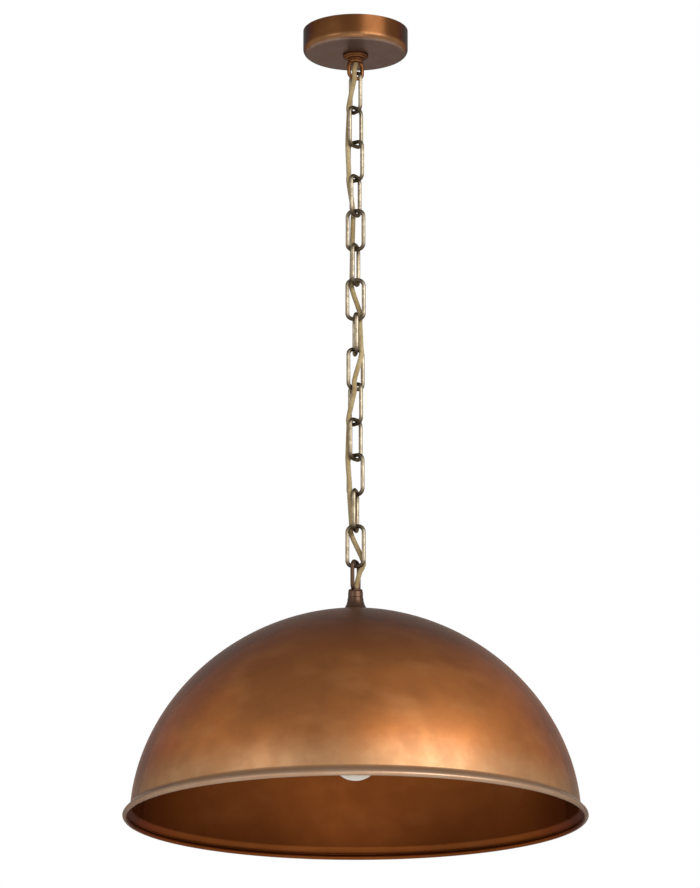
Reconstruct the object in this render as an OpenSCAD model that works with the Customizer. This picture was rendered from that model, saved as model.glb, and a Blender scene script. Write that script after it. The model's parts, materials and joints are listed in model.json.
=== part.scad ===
// Dome pendant lamp: a spun metal dome hung on a link chain from a small ceiling canopy.
// Millimetres, +Z up. The origin is the centre of the bracket's face on the ceiling,
// so the whole lamp hangs below Z = 0.

/* [Shade] */
// Diameter over the shade's rim
shade_d = 400; // [300:5:500]
// Height of the dome above the rim's lower edge, to its clamping seat
shade_h = 181.5; // [140:0.5:220]
// Sheet thickness of the shade
shade_sheet = 1.0; // [0.8:0.1:1.6]
// How far the rim flares out beyond the dome
lip_out = 6.2; // [3:0.2:10]
// Height at which the rim starts to flare
lip_top = 10.6; // [8:0.2:30]
// Height of the upright band below the flare
lip_band = 0.1; // [0:0.1:4]
// Diameter of the curl that stiffens the rim's edge
curl_d = 4.6; // [2.6:0.1:6]
// Radius of the flat seat round the shade's top hole
seat_r = 14; // [13.5:0.5:20]

/* [Chain] */
// Distance from one link's bearing point to the next
link_pitch = 32; // [29:0.5:40]
// Diameter of the links' wire
link_wire = 3.5; // [3:0.1:4]
// Outer width of a link
link_w = 18; // [17:0.5:22]
// Bend radius of a link's corners, to the middle of its wire
link_corner = 5.25; // [4.5:0.25:6]
// Clearance left at every bearing point of the chain
link_gap = 0.3; // [0.2:0.05:0.5]

/* [Canopy] */
// Diameter of the ceiling canopy
canopy_d = 93.6; // [90:0.5:120]
// Height of the ceiling canopy
canopy_h = 22.2; // [20:0.2:40]
// Sheet thickness of the canopy
canopy_sheet = 0.8; // [0.6:0.1:1.2]
// Radius of the canopy's lower edge
canopy_edge = 5; // [1:0.25:6]
// Diameter of the collar under the canopy
collar_d = 22.5; // [18:0.5:30]
// Height of the collar
collar_h = 4; // [3:0.5:6]

/* [Loops] */
// Diameter of the wire of the canopy's and the shade's loops
loop_wire = 3.6; // [3.2:0.1:4]
// Outer width of the canopy's loop
canopy_loop_w = 17; // [16:0.5:20]
// Height of the canopy's loop, between the middles of its top and bottom wires
canopy_loop_h = 15.7; // [15:0.1:20]
// Outer width of the shade's loop
shade_loop_w = 18; // [16:0.5:20]
// Height of the shade's loop, between the middles of its top and bottom wires
shade_loop_h = 26.3; // [17:0.1:32]
// Radius of the canopy loop's stem
canopy_stem_r = 6.8; // [6.4:0.1:8]
// Radius of the shade loop's stem
shade_stem_r = 6.5; // [6.2:0.1:8]
// Height of the shade loop's stem, up to the middle of its lowest wire
stem_h = 6; // [5:0.5:8]
// Depth of the canopy loop's topmost wire below the collar
stem_drop = 2.3; // [2:0.1:4]

/* [Bell cap] */
// Height of the bell cap
bell_h = 13.5; // [12:0.5:30]
// Radius of the bell cap's top
bell_top_r = 6.9; // [6.5:0.1:8]
// Radius of the bell cap's foot
bell_foot_r = 13; // [12:0.5:16]
// Wall of the bell cap
bell_wall = 1.0; // [0.8:0.1:1.4]

/* [Threaded tubes] */
// Radius of the hollow threaded tubes
nipple_r = 4.9; // [4.7:0.05:5]
// Radius of their bore
nipple_bore_r = 3.7; // [3.5:0.1:3.9]
// Running clearance round the threads
thread_gap = 0.05; // [0.03:0.01:0.1]
// Clearance of a sheet's hole round a threaded tube
hole_gap = 0.3; // [0.2:0.05:0.5]
// Thickness of the hexagon nuts
nut_h = 3; // [2.5:0.5:4]
// Width of the hexagon nuts across their flats
nut_flats = 15; // [14:0.5:17]
// Length of the spacer tube above the lampholder
spacer_h = 16; // [12:1:30]
// Thickness of the washer under the shade's top
washer_h = 1.2; // [1:0.1:2]
// Radius of that washer
washer_r = 11; // [9:0.5:13]

/* [Bracket] */
// Length of the mounting bracket
bracket_l = 84; // [80:1:86]
// Width of the mounting bracket
bracket_w = 20; // [18:1:24]
// Thickness of the bracket's sheet
bracket_sheet = 1.5; // [1.2:0.1:2]
// Depth of the bracket's lowered middle below the ceiling
bracket_drop = 9; // [8:0.5:10]
// Distance between the centres of the two ceiling-screw slots
slot_spacing = 60; // [56:1:62]
// Width of a ceiling-screw slot
slot_w = 4.6; // [4:0.1:5.5]
// End-to-end length of a ceiling-screw slot
slot_l = 14; // [10:0.5:16]

/* [Flex] */
// Diameter of the fabric-covered flex
flex_d = 4.4; // [4:0.1:4.8]
// Diameter of one insulated core
core_d = 1.8; // [1.6:0.1:2]

/* [Lampholder and bulb] */
// Outer radius of the lampholder's skirt
holder_r = 19.5; // [18.5:0.5:22]
// Wall of the lampholder's skirt and cap
holder_wall = 1.0; // [0.8:0.1:1.4]
// Outer radius of the bulb's screw cap
screw_r = 12.9; // [12.7:0.05:13]
// Radial clearance between the bulb's cap and the screw shell
screw_gap = 0.3; // [0.2:0.05:0.4]
// Radius of the bulb's glass
bulb_r = 22.5; // [20:0.5:25]
// Overall length of the bulb
bulb_l = 75; // [72:1:85]
// Height of the lampholder from its ceramic base to the top of its neck
holder_head = 38.3; // [34:0.1:46]
// Thickness of the ceramic base
base_h = 8; // [6:0.5:10]
// Space between the ceramic base and the bulb's tip contact
contact_h = 5; // [4.5:0.5:7]
// Length of the screw shell
shell_h = 24; // [20:0.5:26]
// How far the bulb drops in one turn
screw_pitch = 3.63; // [3.5:0.01:3.7]
// Wall of the bulb's glass
glass_wall = 0.8; // [0.6:0.1:1]

/* [Hidden] */
$fn = 64;
links = 14;

// The lamp's levels, from the ceiling down. Link 0 is the canopy's loop and the last one the shade's.
collar_z = -canopy_h;
stem_z = collar_z - collar_h;
ring_z = stem_z - stem_drop;
pivot_z = ring_z - canopy_loop_h;
function link_d(i) = (i == 0 || i == links + 1) ? loop_wire : link_wire;
function pivot(k) = pivot_z - link_pitch * k;
function bearing(k) = pivot(k) + (link_d(k) + link_d(k + 1)) / 2 + link_gap;
shade_ring_z = bearing(links) - shade_loop_h;
bell_z = shade_ring_z - stem_h;
seat_z = bell_z - bell_h;
rim_z = seat_z - shade_h;

washer_z = seat_z - shade_sheet;
nut_z = washer_z - washer_h;
spacer_z = nut_z - nut_h;
neck_z = spacer_z - spacer_h;
base_z = neck_z - holder_head;
shell_z = base_z - base_h;
contact_z = shell_z - contact_h;
tip_z = contact_z - bulb_l;

// Colours of the finishes
copper = [0.58, 0.35, 0.18];
chain_brass = [0.50, 0.44, 0.26];
flex_gold = [0.72, 0.60, 0.34];
zinc = [0.70, 0.71, 0.72];
brass = [0.78, 0.62, 0.32];
nylon = [0.93, 0.92, 0.88];
ceramic = [0.95, 0.94, 0.90];
brown_core = [0.36, 0.20, 0.12];
blue_core = [0.10, 0.30, 0.66];
green_core = [0.25, 0.58, 0.22];

function link_name(i) = str("link_", i < 10 ? "0" : "", i);

// ---- shared shapes ----

// Points of an arc about [cx, cy] in the profile plane
function arc(cx, cy, r, from, to, n) =
    [for (i = [0:n]) [cx + r * cos(from + (to - from) * i / n), cy + r * sin(from + (to - from) * i / n)]];

// A washer or tube between two levels
module tube(r_out, r_in, low, high) {
    translate([0, 0, low])
        difference() {
            cylinder(r = r_out, h = high - low);
            translate([0, 0, -1])
                cylinder(r = r_in, h = high - low + 2);
        }
}

// A hexagon nut between two levels, bored to run on the threaded tube
module hex_nut(low, high) {
    translate([0, 0, low])
        difference() {
            rotate([0, 0, 30])
                cylinder(r = nut_flats / 2 / cos(30), h = high - low, $fn = 6);
            translate([0, 0, -1])
                cylinder(r = nipple_r + thread_gap, h = high - low + 2);
        }
}

// A closed ring of round wire, upright, w wide and h high between the middles of its wires.
// Its short straight ends are what the neighbouring link turns on.
module wire_ring(w, h, corner, wire) {
    half_w = w / 2 - corner;
    half_h = h / 2 - corner;
    for (side = [-1, 1]) {
        translate([side * w / 2, 0, -half_h])
            cylinder(d = wire, h = 2 * half_h);
        translate([-half_w, 0, side * h / 2])
            rotate([0, 90, 0])
                cylinder(d = wire, h = 2 * half_w);
    }
    for (quarter = [0:3]) {
        dx = (quarter == 0 || quarter == 3) ? half_w : -half_w;
        dz = quarter < 2 ? half_h : -half_h;
        translate([dx, 0, dz])
            rotate([90, 0, 0])
                rotate([0, 0, 90 * quarter])
                    rotate_extrude(angle = 90)
                        translate([corner, 0])
                            circle(d = wire);
    }
}

// Twist of each link from a plain quarter turn, in degrees, as the chain hangs
link_twist = [-60, -54, -44, -36, -30, -14, -20, 0, 8, 30, 42, 52, 58, 78, 80, 68];
front_link = 7;
function link_yaw(i) = 90 * (i - front_link) + link_twist[i];

// ---- soft tubes: the flex and its cores ----

function unit(v) = v / norm(v);
// Direction of a path at its point j
function along(path, j) = unit(path[min(j + 1, len(path) - 1)] - path[max(j - 1, 0)]);
// Circle of n points about p, square to the direction t, started from the side direction side
function ring_points(p, t, r, n, side) =
    let (u = unit(side - (side * t) * t), v = cross(t, u))
    [for (i = [0:n - 1]) p + r * (cos(360 * i / n) * u + sin(360 * i / n) * v)];
// Catmull-Rom curve through the points, steps rings to a stretch
function curve_at(p, i, f) =
    let (a = p[max(i - 1, 0)], b = p[i], c = p[i + 1], d = p[min(i + 2, len(p) - 1)])
    0.5 * (2 * b + (c - a) * f + (2 * a - 5 * b + 4 * c - d) * f * f
        + (3 * b - a - 3 * c + d) * f * f * f);
function curve(p, steps) =
    concat([for (i = [0:len(p) - 2]) for (s = [0:steps - 1]) curve_at(p, i, s / steps)],
        [p[len(p) - 1]]);

module soft_tube(path, d, sides, side) {
    rings = len(path);
    points = [for (j = [0:rings - 1]) each ring_points(path[j], along(path, j), d / 2, sides, side)];
    walls = [for (j = [0:rings - 2]) for (i = [0:sides - 1])
        let (k = (i + 1) % sides, here = j * sides, next = here + sides)
        each [[here + i, next + i, next + k], [here + i, next + k, here + k]]];
    foot = [for (i = [0:sides - 1]) i];
    head = [for (i = [0:sides - 1]) rings * sides - 1 - i];
    polyhedron(points = points, faces = concat(walls, [foot, head]), convexity = 8);
}

// The flex leaves the canopy's loop, runs down the chain and enters the shade loop's stem.
// At each bearing point it lies in one quarter between the two wires that cross there,
// numbered from the upper link's own direction, just far enough out to clear them both.
flex_quarter = [2, 0, 3, 2, 0, 3, 2, 0, 2, 0, 2, 1, 0, 2, 0];
flex_room = (loop_wire + flex_d) / 2 + 0.5;
flex_half = 4.6;
function turn(k) = link_yaw(k + 1) - link_yaw(k) - 90;
function quarter_wide(k) = 90 + turn(k) * (flex_quarter[k] % 2 == 0 ? 1 : -1);
function flex_az(k) = link_yaw(k) + 45 + 90 * flex_quarter[k] + turn(k) / 2;
function flex_off(k) = flex_room / sin(quarter_wide(k) / 2);
function flex_mid(k) = (pivot(k) + bearing(k)) / 2;
function flex_point(k, share, z) =
    [share * flex_off(k) * cos(flex_az(k)), share * flex_off(k) * sin(flex_az(k)), z];
flex_top = -4.2;
flex_end = neck_z - 10;
flex_route = concat(
    [[0, 0, flex_top], [0, 0, collar_z / 2], [0, 0, stem_z],
     flex_point(0, 0.2, ring_z - 4), flex_point(0, 0.75, ring_z - 8.5)],
    [flex_point(0, 1, flex_mid(0) - 1), flex_point(0, 1, flex_mid(0) - flex_half - 1)],
    [for (k = [1:links - 1]) each [flex_point(k, 1, flex_mid(k) + flex_half),
                                   flex_point(k, 1, flex_mid(k) - flex_half)]],
    [flex_point(links, 1, flex_mid(links) + flex_half), flex_point(links, 1, flex_mid(links) - 1.5),
     flex_point(links, 0.6, flex_mid(links) - 7), flex_point(links, 0.1, shade_ring_z + 5)],
    [[0, 0, shade_ring_z], [0, 0, bell_z], [0, 0, seat_z], [0, 0, flex_end]]);

// The three cores lie in a triangle inside the flex. A core's first points lead it away from the
// flex's cut end, dir +1 upward or -1 downward, and spread it clear of the others.
core_off = core_d / sqrt(3) + 0.03;
live_at = core_off * [-cos(30), sin(30)];
neutral_at = core_off * [cos(30), sin(30)];
earth_at = core_off * [0, -1];
core_gap = 0.3;
function core_start(at, end_z, dir) =
    [[at[0], at[1], end_z + dir * core_gap], [1.3 * at[0], 1.3 * at[1], end_z + dir * 1.5]];

// ---- at the ceiling ----

ear_x = bracket_l / 2;
rise_top_x = 22;
rise_low_x = 18;
tongue_w = 8;
tongue_l = 24;
plate_z = -bracket_drop;
block_w = 17;
block_d = 15;
block_h = 9.6;
block_y = 26;
block_z = plate_z - bracket_sheet;
way_x = 4.2;
way_z = block_z - 4.6;
insert_r = 2.4;
insert_bore_r = 1.2;
earth_x = -13.3;
earth_screw_r = 2;
clamp_y = 4;

// Slotted crossbar, bent down in the middle to leave room for the threaded tube's end
module mounting_bracket() {
    bend = bracket_sheet * tan(atan(bracket_drop / (rise_top_x - rise_low_x)) / 2);
    upper = [[ear_x, 0], [rise_top_x, 0], [rise_low_x, plate_z]];
    lower = [[rise_low_x + bend, plate_z - bracket_sheet], [rise_top_x + bend, -bracket_sheet],
             [ear_x, -bracket_sheet]];
    right = concat(upper, [[-rise_low_x, plate_z], [-rise_top_x, 0], [-ear_x, 0]]);
    left = [for (i = [2:-1:0]) [-lower[i][0], lower[i][1]]];
    color(zinc)
        difference() {
            union() {
                rotate([90, 0, 0])
                    translate([0, 0, -bracket_w / 2])
                        linear_extrude(bracket_w)
                            polygon(concat(right, left, lower));
                translate([-tongue_w / 2, 0, plate_z - bracket_sheet])
                    cube([tongue_w, bracket_w / 2 + tongue_l, bracket_sheet]);
            }
            for (side = [-1, 1])
                translate([side * slot_spacing / 2, 0, 0])
                    screw_slot();
            translate([0, 0, plate_z - bracket_sheet - 1])
                cylinder(r = nipple_r + thread_gap, h = bracket_sheet + 2);
            translate([earth_x, 0, plate_z - bracket_sheet - 1])
                cylinder(r = earth_screw_r + 0.05, h = bracket_sheet + 2);
            translate([0, block_y, plate_z - bracket_sheet - 1])
                cylinder(r = 1.3, h = bracket_sheet + 2);
        }
}

// Cutter for one slot through the bracket's ear
module screw_slot() {
    run = slot_l - slot_w;
    for (end = [-1, 1])
        translate([end * run / 2, 0, -bracket_sheet - 1])
            cylinder(d = slot_w, h = bracket_sheet + 2);
    translate([-run / 2, -slot_w / 2, -bracket_sheet - 1])
        cube([run, slot_w, bracket_sheet + 2]);
}

nipple_top = plate_z + nut_h + 0.6;
nipple_foot = ring_z + 0.8;

module canopy_nipple() {
    color(brass) tube(nipple_r, nipple_bore_r, nipple_foot, nipple_top);
}

// One nut above the bracket's plate and one below it
module bracket_nuts() {
    color(zinc) {
        hex_nut(plate_z, plate_z + nut_h);
        hex_nut(block_z - nut_h, block_z);
    }
}

// Insulating bush that keeps the flex off a threaded tube's end; dir is +1 for an upper end
module bush(end_z, dir) {
    bush_l = 3;
    flange_h = 0.8;
    mirror([0, 0, dir < 0 ? 1 : 0])
        translate([0, 0, dir * end_z])
            difference() {
                union() {
                    translate([0, 0, -bush_l])
                        cylinder(r = nipple_bore_r - 0.05, h = bush_l + flange_h);
                    cylinder(r = nipple_r - 0.2, h = flange_h);
                }
                translate([0, 0, -bush_l - 1])
                    cylinder(r = flex_d / 2 + 0.1, h = bush_l + flange_h + 2);
            }
}

module canopy_bush() {
    color(nylon) bush(nipple_top, 1);
}

// Two-way screw terminal block under the bracket's tongue
module terminal_block() {
    color(nylon)
        difference() {
            translate([-block_w / 2, block_y - block_d / 2, block_z - block_h])
                cube([block_w, block_d, block_h]);
            for (side = [-1, 1]) {
                translate([side * way_x, block_y - block_d / 2 - 1, way_z])
                    rotate([-90, 0, 0])
                        cylinder(r = insert_r + 0.05, h = block_d + 2);
                for (end = [-1, 1])
                    translate([side * way_x, block_y + end * clamp_y, block_z - block_h - 1])
                        cylinder(r = 1.75, h = block_h - 4.6 + 1);
            }
            translate([0, block_y, block_z - block_h - 1])
                cylinder(r = 1.35, h = block_h + 2);
            translate([0, block_y, block_z - block_h - 1])
                cylinder(r = 1.7, h = 2.6);
        }
}

// The block's two brass tubes, each cross-drilled for its clamp screws
module terminal_inserts() {
    color(brass)
        for (side = [-1, 1])
            difference() {
                translate([side * way_x, block_y - block_d / 2 + 1, way_z])
                    rotate([-90, 0, 0])
                        cylinder(r = insert_r, h = block_d - 2);
                translate([side * way_x, block_y - block_d / 2, way_z])
                    rotate([-90, 0, 0])
                        cylinder(r = insert_bore_r, h = block_d);
                for (end = [-1, 1])
                    translate([side * way_x, block_y + end * clamp_y, way_z - insert_r - 1])
                        cylinder(r = 1.05, h = insert_r + 1);
            }
}

module terminal_screws() {
    color(zinc)
        for (side = [-1, 1], end = [-1, 1])
            translate([side * way_x, block_y + end * clamp_y, block_z - block_h + 0.6])
                difference() {
                    cylinder(r = 1.0, h = way_z - 1.0 - (block_z - block_h + 0.6));
                    translate([-1.2, -0.2, -0.1])
                        cube([2.4, 0.4, 0.6]);
                }
}

module terminal_fixing_screw() {
    color(zinc)
        translate([0, block_y, block_z - block_h + 0.4]) {
            cylinder(r = 1.25, h = block_h + bracket_sheet + 0.9);
            difference() {
                cylinder(r = 1.6, h = 1.2);
                translate([-2, -0.25, -0.1])
                    cube([4, 0.5, 0.6]);
            }
        }
}

// Earth screw with its head above the bracket's plate and a nut below
module earth_screw() {
    color(brass)
        translate([earth_x, 0, 0]) {
            translate([0, 0, block_z - 4])
                cylinder(r = earth_screw_r, h = 4 + bracket_sheet + tag_sheet + 0.1);
            difference() {
                translate([0, 0, plate_z + tag_sheet + 0.1])
                    cylinder(r = 1.6 * earth_screw_r, h = 2.2);
                translate([-4, -0.4, plate_z + tag_sheet + 1.5])
                    cube([8, 0.8, 2]);
            }
            translate([0, 0, block_z - 2.4])
                cylinder(r = 1.75 * earth_screw_r / cos(30), h = 2.4, $fn = 6);
        }
}

// A core's path from the flex's upper end over the plate and down beside the tongue to one way
module canopy_core(at, side) {
    entry_y = block_y - block_d / 2 + 1;
    beside_x = side * (tongue_w / 2 + 2.4);
    route = concat(
        core_start(at, flex_top, 1),
        [[side * 1.7, 2.8, -1.5], [side * 3.2, 6.5, -1.9], [side * 5.6, 10.6, -4],
         [beside_x, 12.6, plate_z + 0.5], [beside_x, 13.6, plate_z - 3],
         [side * way_x, entry_y - 2.5, way_z + 0.2], [side * way_x, entry_y, way_z],
         [side * way_x, entry_y + 5, way_z]]);
    soft_tube(curve(route, 2), core_d, 8, [1, 0, 0]);
}

module canopy_live_core() {
    color(brown_core) canopy_core(live_at, -1);
}

module canopy_neutral_core() {
    color(blue_core) canopy_core(neutral_at, 1);
}

// The earth core ends in a ring tag under the earth screw's head
module canopy_earth_core() {
    barrel_x = -(nut_flats / 2 + tag_barrel_r + 0.2);
    route = concat(
        core_start(earth_at, flex_top, 1),
        [[-1.8, -2.6, -1.5], [-4.8, -3.2, -1.5], [barrel_x + 0.9, -2.4, -2.6],
         [barrel_x, -0.8, plate_z + 3.8], [barrel_x, 0, plate_z + 2.2], [barrel_x, 0, plate_z + 1]]);
    color(green_core) {
        soft_tube(curve(route, 2), core_d, 8, [0, 1, 0]);
        translate([earth_x, 0, plate_z])
            ring_tag(earth_screw_r, barrel_x - earth_x);
    }
}

// Crimped ring tag: a washer for a screw of radius r, and a barrel at the distance reach along X
tag_sheet = 0.7;
tag_barrel_r = 1.1;
module ring_tag(r, reach) {
    difference() {
        union() {
            cylinder(r = r + 1.2, h = tag_sheet);
            translate([0, -tag_barrel_r, 0])
                cube([reach, 2 * tag_barrel_r, tag_sheet]);
            translate([reach, 0, 0])
                cylinder(r = tag_barrel_r, h = tag_sheet + 1.2);
        }
        translate([0, 0, -1])
            cylinder(r = r + 0.1, h = tag_sheet + 2);
    }
}

// Shallow spun cup, open against the ceiling
module canopy() {
    r = canopy_d / 2;
    hole_r = nipple_r + hole_gap;
    inner_edge = max(canopy_edge - canopy_sheet, 0.2);
    profile = concat(
        [[r, 0]],
        arc(r - canopy_edge, -canopy_h + canopy_edge, canopy_edge, 0, -90, 9),
        [[hole_r, -canopy_h], [hole_r, -canopy_h + canopy_sheet]],
        arc(r - canopy_sheet - inner_edge, -canopy_h + canopy_sheet + inner_edge, inner_edge, -90, 0, 9),
        [[r - canopy_sheet, 0]]);
    color(copper)
        rotate_extrude($fn = 128)
            polygon(profile);
}

// Turned ring round the loop's stem, stepped below
module canopy_collar() {
    r = collar_d / 2;
    bore_r = canopy_stem_r + thread_gap;
    step = collar_h * 0.3;
    profile = [[bore_r, collar_z], [r - 0.6, collar_z], [r, collar_z - 0.6],
               [r, stem_z + step + 0.6], [r - 0.8, stem_z + step], [r - 2.4, stem_z], [bore_r, stem_z]];
    color(copper)
        rotate_extrude()
            polygon(profile);
}

// Stem and wire ring in one piece. The stem screws onto the threaded tube and lets the flex through.
module loop(stem_r, face_z, wire_z, end_z, ring_w, ring_h, thread_z) {
    low = min(face_z, end_z);
    high = max(face_z, end_z);
    dir = wire_z > face_z ? 1 : -1;
    difference() {
        union() {
            translate([0, 0, low])
                cylinder(r = stem_r, h = high - low);
            translate([0, 0, wire_z + dir * ring_h / 2])
                wire_ring(ring_w - loop_wire, ring_h, (ring_w - loop_wire) / 2 - 1.6, loop_wire);
        }
        translate([0, 0, low - 3])
            cylinder(r = flex_d / 2 + 0.7, h = high - low + 6);
        translate([0, 0, min(face_z, thread_z) - (dir > 0 ? 1 : 0)])
            cylinder(r = nipple_r + thread_gap, h = abs(face_z - thread_z) + 1);
    }
}

module canopy_loop() {
    color(copper)
        rotate([0, 0, link_yaw(0)])
            loop(canopy_stem_r, collar_z, ring_z, ring_z - 1.5, canopy_loop_w, canopy_loop_h,
                nipple_foot - 0.3);
}

module flex() {
    color(flex_gold)
        soft_tube(curve(flex_route, 2), flex_d, 10, [1, 0, 0]);
}

// ---- chain ----

module chain_link(i) {
    color(chain_brass)
        translate([0, 0, (bearing(i - 1) + pivot(i)) / 2])
            rotate([0, 0, link_yaw(i)])
                wire_ring(link_w - link_wire, bearing(i - 1) - pivot(i), link_corner, link_wire);
}

// ---- at the shade ----

module shade_loop() {
    color(chain_brass)
        rotate([0, 0, link_yaw(links + 1)])
            loop(shade_stem_r, bell_z, shade_ring_z, shade_ring_z + 1.5, shade_loop_w, shade_loop_h,
                shade_ring_z - 1.7);
}

// Flared cap between the loop's stem and the dome
function bell_r(share) = bell_top_r + (bell_foot_r - bell_top_r) * pow(1 - share, 2);
module bell_cap() {
    steps = 16;
    outer = [for (i = [0:steps]) [bell_r(i / steps), seat_z + bell_h * i / steps]];
    inner = [for (i = [steps:-1:0])
        [bell_r(i / steps) - bell_wall, min(seat_z + bell_h * i / steps, bell_z - bell_wall)]];
    hole_r = nipple_r + hole_gap;
    color(copper)
        rotate_extrude()
            polygon(concat(outer, [[hole_r, bell_z], [hole_r, bell_z - bell_wall]], inner));
}

shade_nipple_top = shade_ring_z - 2.0;
shade_nipple_foot = neck_z - 8;

module shade_nipple() {
    color(brass) tube(nipple_r, nipple_bore_r, shade_nipple_foot, shade_nipple_top);
}

// The dome is a superellipse; below lip_top it flares out in an S to the rim's upright band.
dome_power = 1.93;
dome_a = shade_d / 2 - lip_out;
dome_b = shade_h / pow(1 - pow(seat_r / dome_a, dome_power), 1 / dome_power);
lip_low = curl_d / 2 + lip_band;
function smooth(t) = let (u = min(max(t, 0), 1)) u * u * (3 - 2 * u);
function dome_r(z) = dome_a * pow(1 - pow(z / dome_b, dome_power), 1 / dome_power)
    + lip_out * smooth((lip_top - z) / (lip_top - lip_low));
function dome_slope(z) = (dome_r(z + 0.01) - dome_r(z - 0.01)) / 0.02;
// The point one sheet thickness inside the dome's outer surface
function dome_inside(z) =
    let (n = unit([1, -dome_slope(z)]))
    [dome_r(z), z] - shade_sheet * n;

module shade() {
    curl_r = curl_d / 2;
    seat_turn = asin(pow(shade_h / dome_b, dome_power / 2));
    lip_turn = asin(pow(lip_top / dome_b, dome_power / 2));
    dome_steps = 34;
    lip_steps = 14;
    curl_clear = 0.05;
    heights = concat(
        [for (i = [0:dome_steps - 1])
            let (turn = seat_turn + (lip_turn - seat_turn) * i / dome_steps)
            dome_b * pow(sin(turn), 2 / dome_power)],
        [for (i = [0:lip_steps]) lip_top + (lip_low - lip_top) * i / lip_steps]);
    outer = [for (z = heights) [dome_r(z), z]];
    // The edge curls round to where the sheet's inside meets it
    curl_mid = [shade_d / 2 - curl_r, curl_r];
    inner = [for (z = heights)
        let (p = dome_inside(z))
        if (p[1] > curl_r && norm(p - curl_mid) > curl_r + curl_clear) p];
    meet = inner[len(inner) - 1] - curl_mid;
    curl = arc(curl_mid[0], curl_mid[1], curl_r, 0, atan2(meet[1], meet[0]) - 360, 24);
    hole_r = nipple_r + hole_gap;
    color(copper)
        translate([0, 0, rim_z])
            rotate_extrude($fn = 256)
                polygon(concat([[hole_r, shade_h]], outer, curl,
                    [for (i = [len(inner) - 1:-1:1]) inner[i]],
                    [[seat_r, shade_h - shade_sheet], [hole_r, shade_h - shade_sheet]]));
}

module shade_washer() {
    color(zinc) tube(washer_r, nipple_r + hole_gap, washer_z - washer_h, washer_z);
}

module shade_nut() {
    color(zinc) hex_nut(nut_z - nut_h, nut_z);
}

module spacer_tube() {
    color(brass) tube(nipple_r + 1.6, nipple_r + hole_gap, neck_z, spacer_z);
}

module holder_bush() {
    color(nylon) bush(shade_nipple_foot, -1);
}

// Turned cap: a threaded neck over a domed shoulder that closes the lampholder
neck_r = 8;
neck_h = 7;
shoulder_h = 13;
cap_skirt_h = 12;
module holder_cap() {
    r = holder_r + thread_gap + holder_wall;
    low = neck_z - neck_h - shoulder_h - cap_skirt_h;
    outer = concat(
        [[neck_r - 0.6, neck_z], [neck_r, neck_z - 0.6]],
        [for (a = [0:10:90]) [neck_r + (r - neck_r) * sin(a), neck_z - neck_h - shoulder_h * (1 - cos(a))]],
        [[r, low]]);
    inner = concat(
        [[r - holder_wall, low]],
        [for (a = [90:-10:0])
            [neck_r - 1 + (r - holder_wall - neck_r + 1) * sin(a),
             neck_z - neck_h - 1.2 - (shoulder_h - 1.2) * (1 - cos(a))]],
        [[nipple_r + thread_gap, neck_z - neck_h - 1.2], [nipple_r + thread_gap, neck_z]]);
    color(brass)
        difference() {
            rotate_extrude()
                polygon(concat(outer, inner));
            translate([0, 0, neck_z - neck_h / 2])
                rotate([0, 90, 0])
                    cylinder(r = 1.55, h = neck_r + 1);
        }
}

// Grub screw that locks the cap on the threaded tube
module grub_screw() {
    color(zinc)
        translate([nipple_r + 0.02, 0, neck_z - neck_h / 2])
            rotate([0, 90, 0])
                difference() {
                    cylinder(r = 1.5, h = neck_r - nipple_r);
                    translate([-2, -0.25, neck_r - nipple_r - 0.7])
                        cube([4, 0.5, 1]);
                }
}

// Cylindrical cover, with an inner shoulder under the ceramic base and an inturned lower edge
module holder_skirt() {
    inner_r = holder_r - holder_wall;
    top = neck_z - neck_h - shoulder_h - cap_skirt_h + 8;
    low = shell_z - shell_h - 4;
    ledge_r = screw_r + screw_gap + 2.8;
    profile = [[holder_r, top], [holder_r, low + 1.5], [holder_r - 1.5, low], [ledge_r, low],
               [ledge_r, low + holder_wall], [inner_r - 0.6, low + holder_wall],
               [inner_r, low + holder_wall + 0.6], [inner_r, shell_z - 3], [inner_r - 1.2, shell_z - 1.6],
               [inner_r - 1.2, shell_z], [inner_r, shell_z], [inner_r, top]];
    color(brass)
        rotate_extrude()
            polygon(profile);
}

terminal_x = 10.5;
terminal_size = [5, 8, 6];
strap_x = 5.5;
rivet_r = 1.2;
earth_bar_w = 6;

module ceramic_base() {
    r = holder_r - holder_wall - 0.1;
    color(ceramic)
        difference() {
            union() {
                translate([0, 0, shell_z])
                    cylinder(r = r, h = base_h);
                translate([-earth_bar_w / 2, -r + 3, base_z - 1])
                    cube([earth_bar_w, 2 * r - 6, earth_bar_h + 1]);
            }
            translate([strap_x, 0, shell_z - 1])
                cylinder(r = rivet_r + 0.1, h = base_h + 2);
            translate([0, earth_stud_y, base_z + earth_bar_h - stud_l])
                cylinder(r = earth_stud_r + 0.05, h = stud_l + 1);
        }
}

// The live and the neutral terminal, drilled for the cores from above and for screws from one side
module holder_terminals() {
    color(brass)
        for (side = [-1, 1])
            translate([side * terminal_x, 0, base_z])
                difference() {
                    translate([-terminal_size[0] / 2, -terminal_size[1] / 2, 0])
                        cube(terminal_size);
                    translate([0, 1.5, 2])
                        cylinder(r = 1.1, h = terminal_size[2]);
                    translate([0, -terminal_size[1] / 2 - 1, 4])
                        rotate([-90, 0, 0])
                            cylinder(r = 1.3, h = 5.4);
                }
}

module holder_terminal_screws() {
    color(zinc)
        for (side = [-1, 1])
            translate([side * terminal_x, -terminal_size[1] / 2 - 2.2, base_z + 4])
                rotate([-90, 0, 0])
                    difference() {
                        union() {
                            cylinder(r = 1.25, h = 6.2);
                            cylinder(r = 2.1, h = 1.8);
                        }
                        translate([-3, -0.25, -0.5])
                            cube([6, 0.5, 1.1]);
                    }
}

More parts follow.
